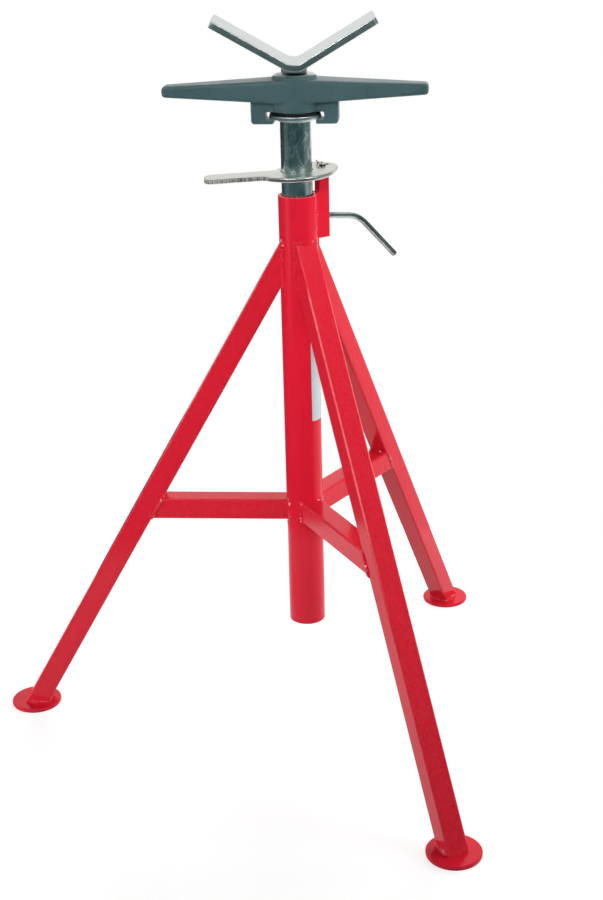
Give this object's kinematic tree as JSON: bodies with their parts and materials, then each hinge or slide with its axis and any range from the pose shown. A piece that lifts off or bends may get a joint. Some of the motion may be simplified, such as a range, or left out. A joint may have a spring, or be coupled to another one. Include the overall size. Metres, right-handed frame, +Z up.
{
  "type": "v-head pipe stand",
  "caption": "Tripod pipe stand: welded square-tube legs, a sliding inner tube with a tilting lock lever, and a screw jack with a cross handle that raises a V-shaped saddle for pipe.",
  "frame": {"origin": "on the floor, under the axis of the main tube", "axes": "+Z up along the tubes and the screw, Y along a pipe lying in the saddle, X across it"},
  "size_m": [0.596, 0.6523, 0.8266],
  "materials": {
    "red_paint": "gloss powder coat",
    "zinc_plate": "zinc plated",
    "bare_steel": "machined",
    "cast_paint": "grey-green paint on a casting"
  },
  "bodies": {
    "base": {"main_tube": "red_paint", "leg_left": "red_paint", "leg_back": "red_paint", "leg_front": "red_paint", "brace_left": "red_paint", "brace_back": "red_paint", "brace_front": "red_paint", "foot_left": "red_paint", "foot_back": "red_paint", "foot_front": "red_paint", "lock_post": "red_paint", "cotter_pin": "bare_steel"},
    "staff": {"inner_tube": "zinc_plate", "tube_flange": "zinc_plate", "flange_weld": "zinc_plate", "thrust_washer": "bare_steel"},
    "handle": {"turn_handle": "cast_paint"},
    "v_head": {"jack_screw": "bare_steel", "v_saddle": "zinc_plate"},
    "lever": {"lock_lever": "zinc_plate"},
    "clamp": {"clamp_screw": "zinc_plate"}
  },
  "joints": [
    {"name": "tube_slide", "type": "slide", "parent": "base", "child": "staff", "axis": [0, 0, 1], "range_m": [-0.042, 0.4]},
    {"name": "handle_turn", "type": "hinge", "parent": "staff", "child": "handle", "pos_m": [0, 0, 0.748], "axis": [0, 0, -1], "range_deg": [0, 5760]},
    {"name": "head_lift", "type": "slide", "parent": "staff", "child": "v_head", "axis": [0, 0, 1], "range_m": [0, 0.096]},
    {"name": "lever_tilt", "type": "hinge", "parent": "base", "child": "lever", "pos_m": [0.02536, 0.01585, 0.6635], "axis": [-0.5299, 0.848, 0], "range_deg": [0, 4.6]},
    {"name": "clamp_turn", "type": "hinge", "parent": "base", "child": "clamp", "pos_m": [0.025, 0.01562, 0.6095], "axis": [0.848, 0.5299, 0], "range_deg": [-360, 360]}
  ],
  "couplings": [
    {"joint": "head_lift", "follows": "handle_turn", "m_per_rad": 0.00095493}
  ]
}
